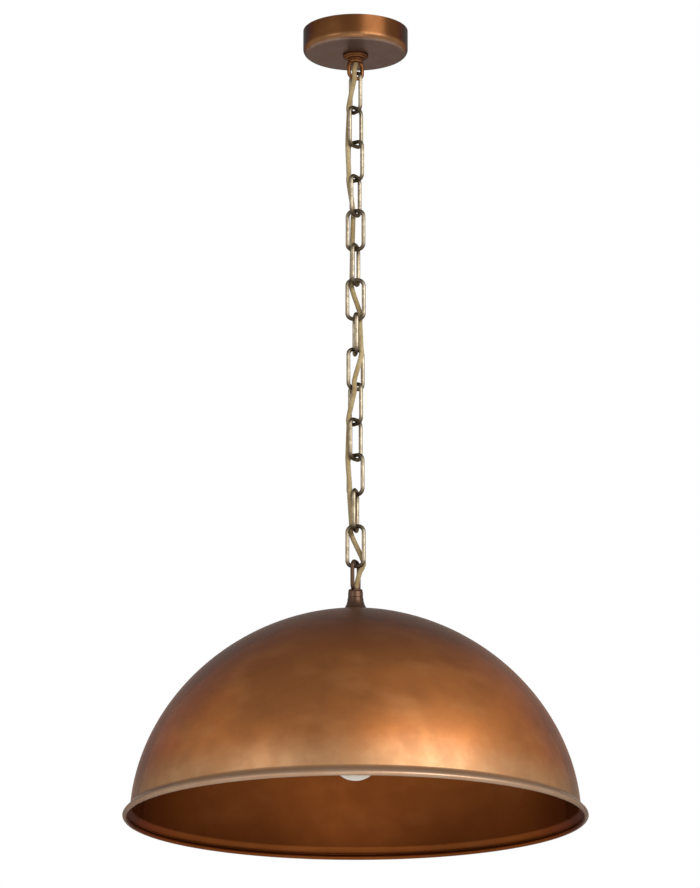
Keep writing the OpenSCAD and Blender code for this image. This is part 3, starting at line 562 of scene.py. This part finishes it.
# The lining is a darker, redder copy of the outer copper: painted shade inside the dome.
inner_painted_shade_patina = aged_copper("shade_lining", (0.100, 0.026, 0.006), (0.195, 0.055, 0.012),
                           (0.260, 0.086, 0.026), gloss=0.42)
fitting_patina = aged_copper("fitting_patina", (0.052, 0.021, 0.010), (0.200, 0.078, 0.028),
                             (0.350, 0.160, 0.065), gloss=0.32)
canopy_patina = aged_copper("canopy_patina", (0.040, 0.014, 0.006), (0.115, 0.042, 0.012),
                            (0.220, 0.098, 0.034), gloss=0.30, lacquer=0.05, zones=[
                                # A paler band just above the rounded lower edge: a painted
                                # highlight, partly real rubbing.
                                (CANOPY_FACE + 3 * MM, CANOPY_FACE + 7 * MM,
                                 (0.380, 0.190, 0.085), 0.45),
                                # A grey-mauve underside: a painted reflection of the room below.
                                (CANOPY_FACE + 0.2 * MM, CANOPY_FACE + 2 * MM,
                                 (0.260, 0.185, 0.150), 1.0)])
bell_patina = aged_copper("bell_patina", (0.030, 0.014, 0.008), (0.090, 0.043, 0.022),
                          (0.200, 0.115, 0.065), gloss=0.40, lacquer=0.25)
chain_patina = aged_brass("chain_patina", (0.030, 0.019, 0.010), (0.190, 0.152, 0.100),
                          (0.400, 0.335, 0.240))
plated_steel = machined("plated_steel", (0.38, 0.38, 0.37), (0.60, 0.61, 0.62))
turned_brass = machined("turned_brass", (0.36, 0.23, 0.09), (0.66, 0.47, 0.20))
threaded_brass = machined("threaded_brass", (0.34, 0.22, 0.09), (0.62, 0.44, 0.19),
                          thread=NIPPLE_PITCH)
holder_thread = machined("holder_thread", (0.34, 0.22, 0.09), (0.62, 0.44, 0.19),
                         thread=THREAD_PITCH)
flex_cover = braided_fabric("flex_cover", (0.52, 0.37, 0.15), (0.68, 0.55, 0.30),
                            (0.17, 0.10, 0.035))
opal = opal_glass("opal_glass")
stem_glass = clear_glass("stem_glass")
porcelain = glazed("porcelain", (0.86, 0.84, 0.79), (0.74, 0.72, 0.67))
black_glass = glazed("black_glass", (0.020, 0.020, 0.022), (0.012, 0.012, 0.012), gloss=0.08)
natural_nylon = moulded("natural_nylon", (0.80, 0.78, 0.72), (0.66, 0.64, 0.58))
brown_insulation = moulded("brown_insulation", (0.16, 0.070, 0.035), (0.11, 0.048, 0.024))
blue_insulation = moulded("blue_insulation", (0.030, 0.130, 0.420), (0.020, 0.090, 0.330))
earth_insulation = striped_insulation("earth_insulation", (0.070, 0.260, 0.050),
                                      (0.720, 0.560, 0.060))
solder = machined("solder", (0.40, 0.40, 0.39), (0.62, 0.62, 0.60), rough_from=0.30)
tungsten = machined("tungsten", (0.16, 0.16, 0.16), (0.30, 0.29, 0.28), rough_from=0.34)


def finish_piece(piece, material, body, slot, *nodes):
    """Gives a new piece its material and body, and hides the nodes it stands for. slot is not used.
    """
    piece.data.materials.append(material)
    if body:
        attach(piece, body)
    if nodes:
        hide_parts(*nodes)


# ---- shade ----

# How many of the curl's last rows, past its lowest point, take the lining's patina, the darker copy
# that paints shade inside the dome
CURL_LINED = 18
CURL_GAP = 0.02 * MM
LIP_NEAR = 1.3 * LIP_TOP

dome_a = SHADE_RADIUS - LIP_OUT
dome_b = SHADE_HEIGHT / (1 - (SEAT_RADIUS / dome_a) ** DOME_POWER) ** (1 / DOME_POWER)


def dome_radius(z):
    """Outer radius at a height above the rim: the superellipse (r/a)^p + (z/b)^p = 1, plus the
    lip's flare, a smoothstep from nothing at the lip's top to LIP_OUT at its upright band."""
    r = dome_a * (1 - np.clip(z / dome_b, 0, 1) ** DOME_POWER) ** (1 / DOME_POWER)
    return r + LIP_OUT * smooth((LIP_TOP - z) / (LIP_TOP - LIP_BAND))


def dome_line(count):
    """Profile of the outside from the seat down to the lip's upright band, evenly spaced along
    its length, with closer steps along the lip."""
    turn = np.linspace(math.asin((SHADE_HEIGHT / dome_b) ** (DOME_POWER / 2)), 0.0, TRIAL_STEPS)
    z = np.maximum(dome_b * np.sin(turn) ** (2 / DOME_POWER), LIP_BAND)
    line = np.stack([dome_radius(z), z], 1)
    line = line[:np.argmax(z <= LIP_BAND) + 1]
    at = lengths(line)
    lip_at = at[np.argmax(line[:, 1] <= LIP_NEAR)]
    steps = np.concatenate([np.linspace(0, lip_at, count, endpoint=False),
                            np.linspace(lip_at, at[-1], LIP_STEPS)])
    return np.stack([np.interp(steps, at, line[:, k]) for k in (0, 1)], 1)


def shade_profile():
    """Closed section of the sheet: top hole, seat, outside, a curl that rolls the edge in and
    round until it meets the sheet, and the inside one sheet thickness in along the normal.
    The second value is the row from which the shade is lined: the curl's last rows and on."""
    outside = dome_line(OUTSIDE_STEPS)
    inside = dome_line(INSIDE_STEPS)
    slope = np.gradient(inside[:, 0]) / np.gradient(inside[:, 1])
    normal = np.stack([np.ones_like(slope), -slope], 1)
    normal /= np.linalg.norm(normal, axis=1)[:, None]
    inside = (inside - SHADE_SHEET * normal)[::-1]
    centre = np.array([SHADE_RADIUS - CURL_RADIUS, CURL_RADIUS])
    clear = np.linalg.norm(inside - centre, axis=1) > CURL_RADIUS + CURL_GAP
    inside = inside[clear & (inside[:, 1] > CURL_RADIUS)
                    & (inside[:, 1] < SHADE_HEIGHT - SHADE_SHEET - 0.05 * MM)]
    meet = math.degrees(math.atan2(*(inside[0] - centre)[::-1]))
    curl = arc(centre, CURL_RADIUS, 0, meet - 360, CURL_STEPS)
    top = np.array([[NIPPLE_HOLE, SHADE_HEIGHT], [SEAT_RADIUS - 0.8 * MM, SHADE_HEIGHT]])
    under = np.array([[SEAT_RADIUS, SHADE_HEIGHT - SHADE_SHEET],
                      [NIPPLE_HOLE, SHADE_HEIGHT - SHADE_SHEET]])
    profile = np.concatenate([top, outside, curl, inside, under])
    profile[:, 1] += RIM
    return profile, len(top) + len(outside) + len(curl) - CURL_LINED


section, lining_from = shade_profile()
shade = turned("shade_dome", section, SHADE_SEGMENTS, sharp=50)
shade.data.materials.append(outer_patina)
finish_piece(shade, inner_painted_shade_patina, "shade", "copper_finish", "shade")
# Faces from lining_from on take the darker lining, painted shade inside the dome.
row = np.arange(len(shade.data.polygons)) // SHADE_SEGMENTS
lining = (row >= lining_from) & (row < len(section) - 1)
shade.data.polygons.foreach_set("material_index", lining.astype(np.int32))

# ---- bell cap ----

BELL_ROUND = 0.5 * MM
FOOT_RISE = 0.7 * MM

up = np.linspace(0, 1, BELL_STEPS)
flare = BELL_TOP_RADIUS + (BELL_FOOT_RADIUS - BELL_TOP_RADIUS) * (1 - up) ** 2
flare_out = np.stack([flare, SEAT + BELL_HEIGHT * up], 1)
flare_in = np.stack([flare - BELL_WALL, np.minimum(flare_out[:, 1], BELL_TOP - BELL_WALL)], 1)
foot = arc((BELL_FOOT_RADIUS - 0.5 * BELL_WALL, SEAT + 0.5 * BELL_WALL), 0.5 * BELL_WALL, -90, 0, 6)
bell = np.concatenate([
    foot, flare_out[flare_out[:, 1] > SEAT + FOOT_RISE][:-1],
    arc((BELL_TOP_RADIUS - BELL_ROUND, BELL_TOP - BELL_ROUND), BELL_ROUND, 0, 90, 5),
    [[NIPPLE_HOLE, BELL_TOP], [NIPPLE_HOLE, BELL_TOP - BELL_WALL]],
    flare_in[flare_in[:, 1] > SEAT + FOOT_RISE][::-1],
    [[BELL_FOOT_RADIUS - BELL_WALL, SEAT]]])[::-1]
finish_piece(turned("bell_neck", bell, BELL_SEGMENTS), bell_patina, "shade", "copper_finish",
             "bell_cap")

# ---- canopy, collar and loops ----

canopy_in = CANOPY_EDGE - CANOPY_SHEET
canopy_section = spread(np.concatenate([
    [[CANOPY_RADIUS, 0.0]],
    arc((CANOPY_RADIUS - CANOPY_EDGE, CANOPY_FACE + CANOPY_EDGE), CANOPY_EDGE, 0, -90, 12),
    [[NIPPLE_HOLE, CANOPY_FACE], [NIPPLE_HOLE, CANOPY_FACE + CANOPY_SHEET]],
    arc((CANOPY_RADIUS - CANOPY_EDGE, CANOPY_FACE + CANOPY_EDGE), canopy_in, -90, 0, 8),
    [[CANOPY_RADIUS - CANOPY_SHEET, 0.0]]]), CANOPY_STEP)
finish_piece(turned("canopy_cup", canopy_section, CANOPY_SEGMENTS), canopy_patina, "ceiling",
             "copper_finish", "canopy")

COLLAR_ROUND = 0.7 * MM
COLLAR_BEAD = 1.0 * MM
COLLAR_STEP, COLLAR_STEP_HEIGHT = 1.6 * MM, 1.2 * MM

rim_in = COLLAR_RADIUS - COLLAR_ROUND
step_level = COLLAR_FACE + COLLAR_STEP_HEIGHT
collar_section = np.concatenate([
    [[CANOPY_STEM_RADIUS, CANOPY_FACE]],
    arc((rim_in, CANOPY_FACE - COLLAR_ROUND), COLLAR_ROUND, 90, 0, 7),
    arc((rim_in, step_level + COLLAR_ROUND), COLLAR_ROUND, 0, -70, 6),
    arc((COLLAR_RADIUS - COLLAR_STEP - COLLAR_BEAD, COLLAR_FACE + COLLAR_BEAD), COLLAR_BEAD,
        20, -90, 7),
    [[CANOPY_STEM_RADIUS, COLLAR_FACE]]])
finish_piece(turned("collar_ring", collar_section, COLLAR_SEGMENTS), fitting_patina, "ceiling",
             "copper_finish", "canopy_collar")

STEM_CHAMFER = 0.3 * MM
GROOVE_DEPTH, GROOVE_START, GROOVE_END = 0.5 * MM, 2.6 * MM, 2.2 * MM
STEM_BEAD, STEM_BEAD_IN = 1.1 * MM, 1.3 * MM
MOUTH_CHAMFER = 0.4 * MM
STEM_INTO_RING = 1.5 * MM
LOOP_SHOULDER = 1.6 * MM


def stem(name, radius, face, end):
    """Turned hollow stem from its face to its end: a groove near the end, and a bead rolled
    round its corner."""
    span = abs(end - face)
    outline = np.concatenate([
        [[FLEX_HOLE, 0.0], [radius - STEM_CHAMFER, 0.0], [radius, STEM_CHAMFER]],
        [[radius, span - GROOVE_START], [radius - GROOVE_DEPTH, span - GROOVE_END]],
        arc((radius - STEM_BEAD_IN, span - STEM_BEAD), STEM_BEAD, -30, 90, 9),
        [[FLEX_HOLE + MOUTH_CHAMFER, span], [FLEX_HOLE, span - MOUTH_CHAMFER]]])
    if end < face:
        outline[:, 1] = face - outline[:, 1]
    else:
        outline[:, 1] += face
        outline = outline[::-1]
    return turned(name, outline, STEM_SEGMENTS)


def loop(name, width, height, middle, yaw, radius, face, end, finish, body, slot):
    """A wire ring of the given width and height and the stem that carries it."""
    ring = ring_path(width - LOOP_WIRE, height, (width - LOOP_WIRE) / 2 - LOOP_SHOULDER,
                     middle, yaw)
    finish_piece(tube(name + "_ring", ring, LOOP_WIRE / 2, RING_SIDES, closed=True),
                 finish, body, slot, name)
    finish_piece(stem(name + "_stem", radius, face, end), finish, body, slot)


def end_shade_by_height(piece, reach):
    """Stores on the mesh the share of painted shade towards a link's ends: 0 at the middle height,
    rising evenly to 1 at reach from it.
    """
    z = np.zeros(len(piece.data.vertices) * 3)
    piece.data.vertices.foreach_get("co", z)
    z = z[2::3]
    middle = (z.min() + z.max()) / 2
    end_shade = np.clip(np.abs(z - middle) / reach, 0, 1).astype(np.float32)
    piece.data.attributes.new("Wear", "FLOAT", "POINT").data.foreach_set("value", end_shade)


def seamed(path):
    """Wire radius along a link: half the wire * (1 - 0.07 * exp(-(distance / 0.45 mm)^2)), a
    shallow groove round the middle of a side, where the link's ends are brazed."""
    at = lengths(np.concatenate([path, path[:1]]))
    gap = np.minimum(at[:-1], at[-1] - at[:-1])
    return LINK_WIRE / 2 * (1 - 0.07 * np.exp(-(gap / (0.45 * MM)) ** 2))


loop("canopy_loop", CANOPY_LOOP_WIDTH, CANOPY_LOOP_HEIGHT, (CANOPY_RING + pivots[0]) / 2,
     yaws[0], CANOPY_STEM_RADIUS, CANOPY_FACE, CANOPY_RING - STEM_INTO_RING,
     fitting_patina, "ceiling", "copper_finish")
loop("shade_loop", SHADE_LOOP_WIDTH, SHADE_LOOP_HEIGHT, (SHADE_RING + bearings[-1]) / 2,
     yaws[-1], SHADE_STEM_RADIUS, BELL_TOP, SHADE_RING + STEM_INTO_RING,
     bell_patina, "shade", "chain_finish")

# ---- chain ----

for k in range(contacts - 1):
    name = f"link_{k + 1:02d}"
    high, low = bearings[k], pivots[k + 1]
    path = ring_path(LINK_WIDTH - LINK_WIRE, high - low, LINK_CORNER, (high + low) / 2,
                     yaws[k + 1])
    link = tube("chain_" + name, path, seamed(path), LINK_SIDES, closed=True)
    end_shade_by_height(link, (high - low + LINK_WIRE) / 2)
    finish_piece(link, chain_patina, name, "chain_finish", name)

# ---- flex ----

# At each contact the flex passes through one of the four quarters between the two links, as far
# from one as from the other, and runs straight for FLEX_HALF above it and below it.
# turns is how far the two links are turned from square to each other.
turns = (np.diff(yaws) - math.pi / 2 + math.pi) % TURN - math.pi
quarters = np.array(FLEX_QUARTERS)
wide = math.pi / 2 + turns * np.where(quarters % 2 == 0, 1, -1)
flex_angle = yaws[:-1] + math.pi / 4 + quarters * math.pi / 2 + turns / 2
flex_out = FLEX_ROOM / np.sin(wide / 2)
flex_level = (pivots + bearings) / 2
FLEX_TOP = -4.2 * MM
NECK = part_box("holder_cap")[1].z


def beside(k, share, z):
    """A point of the flex at contact k: share of its reach from the chain's axis, at height z."""
    return [share * flex_out[k] * math.cos(flex_angle[k]),
            share * flex_out[k] * math.sin(flex_angle[k]), z]


last = contacts - 1
lead_in = [[0, 0, FLEX_TOP], [0, 0, CANOPY_FACE / 2], [0, 0, COLLAR_FACE],
           beside(0, 0.2, CANOPY_RING - 4 * MM), beside(0, 0.75, CANOPY_RING - 8.5 * MM),
           beside(0, 1, flex_level[0] - 1 * MM), beside(0, 1, flex_level[0] - FLEX_HALF - 1 * MM)]
woven = [beside(k, 1, flex_level[k] + side * FLEX_HALF)
         for k in range(1, last) for side in (1, -1)]
lead_out = [beside(last, 1, flex_level[last] + FLEX_HALF),
            beside(last, 1, flex_level[last] - 1.5 * MM),
            beside(last, 0.6, flex_level[last] - 7 * MM), beside(last, 0.1, SHADE_RING + 5 * MM),
            [0, 0, SHADE_RING], [0, 0, BELL_TOP], [0, 0, SEAT], [0, 0, NECK - 10 * MM]]
flex_line = curve_through(np.array(lead_in + woven + lead_out), FLEX_STEPS)
flex_at = lengths(flex_line)
cuts = [0] + [int(np.argmin(np.abs(flex_line[:, 2] - (flex_level[k] + flex_level[k + 1]) / 2)))
              for k in range(last)] + [len(flex_line) - 1]
for k in range(contacts):
    path = flex_line[cuts[k]:cuts[k + 1] + 1]
    part = tube(f"flex_{k + 1:02d}", path, FLEX_RADIUS, FLEX_SIDES, caps=k in (0, last))
    uv = part.data.uv_layers["Lengths"].data
    values = np.zeros(len(uv) * 2, np.float32)
    uv.foreach_get("uv", values)
    values[1::2] += flex_at[cuts[k]]
    uv.foreach_set("uv", values)
    finish_piece(part, flex_cover, None, "flex_braid", "flex")
    flex_level[k] + 9 * MM
    flex_level[k] - 9 * MM
    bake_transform(part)

# ---- bulb ----

BULB_TIP, GLASS_TOP = (corner.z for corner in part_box("bulb_glass"))
CAP_FOOT, CAP_SHOULDER = (corner.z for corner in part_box("bulb_cap"))
BULB_MIDDLE = BULB_TIP + BULB_RADIUS
GLASS_NECK = 12.2 * MM
NECK_LEVEL = CAP_FOOT + 3 * MM
NECK_TURN = 41
NECK_PULL = 4.5 * MM
CAP_DEPTH = 1.1 * MM
CAP_SHEET = 0.3 * MM
SHOULDER_HEIGHT = 2 * MM
SHOULDER_RADII = 9.6 * MM, 9 * MM, 8 * MM
SHOULDER_GAP = 0.03 * MM


def glass_line(inset):
    """Profile of the glass, inset from its outside: a circle from the tip to NECK_TURN degrees
    above its middle, a cubic Bezier curve that leaves it along its tangent, and the neck."""
    r = BULB_RADIUS - inset
    ball = arc((0, BULB_MIDDLE), r, -90, NECK_TURN, BALL_STEPS)
    ball[0, 0] = 0.02 * MM
    turn = math.radians(NECK_TURN)
    ends = np.array([ball[-1], ball[-1] + NECK_PULL * np.array([-math.sin(turn), math.cos(turn)]),
                     [GLASS_NECK - inset, NECK_LEVEL - NECK_PULL],
                     [GLASS_NECK - inset, NECK_LEVEL]])
    t = np.linspace(0, 1, BEND_STEPS)[1:, None]
    bend = ((1 - t) ** 3 * ends[0] + 3 * t * (1 - t) ** 2 * ends[1]
            + 3 * t * t * (1 - t) * ends[2] + t ** 3 * ends[3])
    return np.concatenate([ball, bend, [[GLASS_NECK - inset, GLASS_TOP]]])


glass_section = np.concatenate([glass_line(GLASS_WALL), glass_line(0)[::-1]])
finish_piece(turned("bulb_globe", glass_section, GLOBE_SEGMENTS), opal, "bulb", "opal_glass",
             "bulb_glass")


def screw_cap():
    """Rolled cap: r = crest - depth * (1 - cos(turn of z / pitch - a)) / 2, where the depth fades
    out near the foot and the shoulder. The inside is the same sheet, one thickness in."""
    z = np.linspace(CAP_FOOT, CAP_SHOULDER - SHOULDER_HEIGHT, CAP_STEPS)
    a = np.linspace(0, TURN, CAP_SEGMENTS, endpoint=False)
    fade = smooth((z - CAP_FOOT - 1.5 * MM) / (2 * MM)) * smooth((z[-1] - z) / (2 * MM))
    phase = TURN * z[:, None] / THREAD_PITCH - a[None]
    r = CAP_RADIUS - fade[:, None] * CAP_DEPTH * (1 - np.cos(phase)) / 2
    shoulder = np.repeat(np.array(SHOULDER_RADII)[:, None], len(a), 1)
    r = np.concatenate([r, shoulder, r[::-1] - CAP_SHEET])
    high = np.concatenate([z, CAP_SHOULDER - np.array([CAP_SHEET, SHOULDER_GAP, CAP_SHEET]),
                           z[::-1]])
    points = np.stack([r * np.cos(a), r * np.sin(a), high[:, None] + 0 * r], 2)[::-1]
    middle = np.stack([r.mean(1), high], 1)[::-1]
    ring = np.concatenate([middle, middle[:1]])
    around = np.linspace(0, TURN * CAP_RADIUS, len(a) + 1)
    return sheet("bulb_screw_cap", points, lengths(ring), around, wrap_rows=True)


finish_piece(screw_cap(), turned_brass, "bulb", "brass", "bulb_cap")

# ---- finishes of the nodes that keep their own shape ----

FINISHES = {
    "mounting_bracket": plated_steel, "bracket_nuts": plated_steel, "terminal_screws": plated_steel,
    "terminal_fixing_screw": plated_steel, "shade_washer": plated_steel, "shade_nut": plated_steel,
    "grub_screw": plated_steel, "holder_terminal_screws": plated_steel,
    "holder_earth_screw": plated_steel, "bulb_leads": plated_steel,
    "canopy_nipple": threaded_brass, "shade_nipple": threaded_brass,
    "screw_shell": holder_thread, "terminal_inserts": turned_brass, "earth_screw": turned_brass,
    "spacer_tube": turned_brass, "holder_cap": turned_brass, "holder_skirt": turned_brass,
    "holder_terminals": turned_brass, "centre_contact": turned_brass,
    "canopy_bush": natural_nylon, "terminal_block": natural_nylon, "holder_bush": natural_nylon,
    "canopy_live_core": brown_insulation, "holder_live_core": brown_insulation,
    "canopy_neutral_core": blue_insulation, "holder_neutral_core": blue_insulation,
    "canopy_earth_core": earth_insulation, "holder_earth_core": earth_insulation,
    "ceramic_base": porcelain, "bulb_contact": solder, "bulb_insulator": black_glass,
    "bulb_stem": stem_glass, "bulb_filament": tungsten,
}
for name, material in FINISHES.items():
    node = frame["nodes"][name]
    node.data.materials.clear()
    node.data.materials.append(material)

# ---- room, light and camera ----

FLOOR = -2.4
FLOOR_HALF = 9
FLOOR_GLOW = 0.62
# The room is 1 where it is seen, down to CEILING overhead, and lights the lamp as ROOM_LEVEL
ROOM_LEVEL = 0.32
CEILING = 0.5
CEILING_FROM, CEILING_FULL = 0.5, 0.9
LAMP_MIDDLE = np.array([0, 0, -0.36])
SHADE_MIDDLE = np.array([0, 0, -0.6])


def light(name, towards, distance, size, strength, aim):
    """A soft box of the given width and height that faces aim. strength is what it adds to a
    white surface that faces it, where 1 is white, so its power is strength * pi^2 * distance^2."""
    lamp = bpy.data.lights.new(name, "AREA")
    lamp.shape = "RECTANGLE"
    lamp.size, lamp.size_y = size
    lamp.energy = strength * math.pi ** 2 * distance ** 2
    stand = bpy.data.objects.new(name, lamp)
    towards = np.array(towards) / np.linalg.norm(towards)
    stand.location = aim + towards * distance
    stand.rotation_euler = Vector(towards).to_track_quat("Z", "Y").to_euler()
    bpy.context.scene.collection.objects.link(stand)


light("key", towards=(0.58, -0.70, 0.40), distance=2.6, size=(2.0, 1.3), strength=0.74,
      aim=SHADE_MIDDLE)
light("second", towards=(-0.66, -0.66, 0.26), distance=2.6, size=(1.0, 0.8), strength=0.10,
      aim=SHADE_MIDDLE)
light("fill", towards=(0.05, -0.9, -0.42), distance=2.8, size=(1.6, 1.6), strength=0.14,
      aim=LAMP_MIDDLE)

floor_mesh = bpy.data.meshes.new("floor")
floor_mesh.from_pydata([(x * FLOOR_HALF, y * FLOOR_HALF, FLOOR)
                        for x, y in ((-1, -1), (1, -1), (1, 1), (-1, 1))], [], [(0, 1, 2, 3)])
floor = bpy.data.objects.new("floor", floor_mesh)
bpy.context.scene.collection.objects.link(floor)
# Plaster that glows only for the rays that show it, and is clear to the camera from underneath
plaster = Finish("floor_plaster")
speck = plaster.noise(0.02, 4, 0.6)
plaster.shader.inputs["Emission Strength"].default_value = FLOOR_GLOW
plaster.done(base_color=plaster.mix(speck, (0.86, 0.86, 0.85), (0.90, 0.90, 0.89)), roughness=0.8,
             emission_color=plaster.shown())
plaster.material.cycles.emission_sampling = "NONE"
under = plaster.node("NewGeometry", output="Backfacing") * plaster.ray("Camera")
cover = plaster.node("MixShader", None, {
    0: under, 1: Wire(plaster, plaster.shader.outputs[0]), 2: plaster.node("BsdfTransparent")})
plaster.put(plaster.tree.nodes["Material Output"].inputs["Surface"], cover)
floor_mesh.materials.append(plaster.material)
floor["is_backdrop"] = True

scene = bpy.context.scene
scene.world = bpy.data.worlds.new("room")
room = Graph(scene.world)
# White all round, up to a ceiling that darkens from 30 to 64 degrees above level. The height is
# the sine of that angle.
height = room.node("SeparateXYZ", None, [room.node("TexCoord", output="Generated")], 2)
white = 1 - height.step(CEILING_FROM, CEILING_FULL) * (1 - CEILING)
room.put(room.tree.nodes["Background"].inputs["Color"], (1, 1, 1))
room.put(room.tree.nodes["Background"].inputs["Strength"],
         room.shown() * (white - ROOM_LEVEL) + ROOM_LEVEL)

# The camera stands in front of the lamp and below it, and looks 14.9 degrees up. Its lens and
# sensor are in millimetres, and its shift is a share of the view's longer side.
view = bpy.data.cameras.new("camera")
view.lens, view.sensor_width, view.shift_x = 199.2, 36, -0.0062
camera = bpy.data.objects.new("camera", view)
camera.location = (0, -4.157, -1.4883)
camera.rotation_euler = (math.radians(104.9), 0, 0)
scene.collection.objects.link(camera)
scene.camera = camera
scene.view_settings.view_transform = "Standard"

low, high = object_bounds()
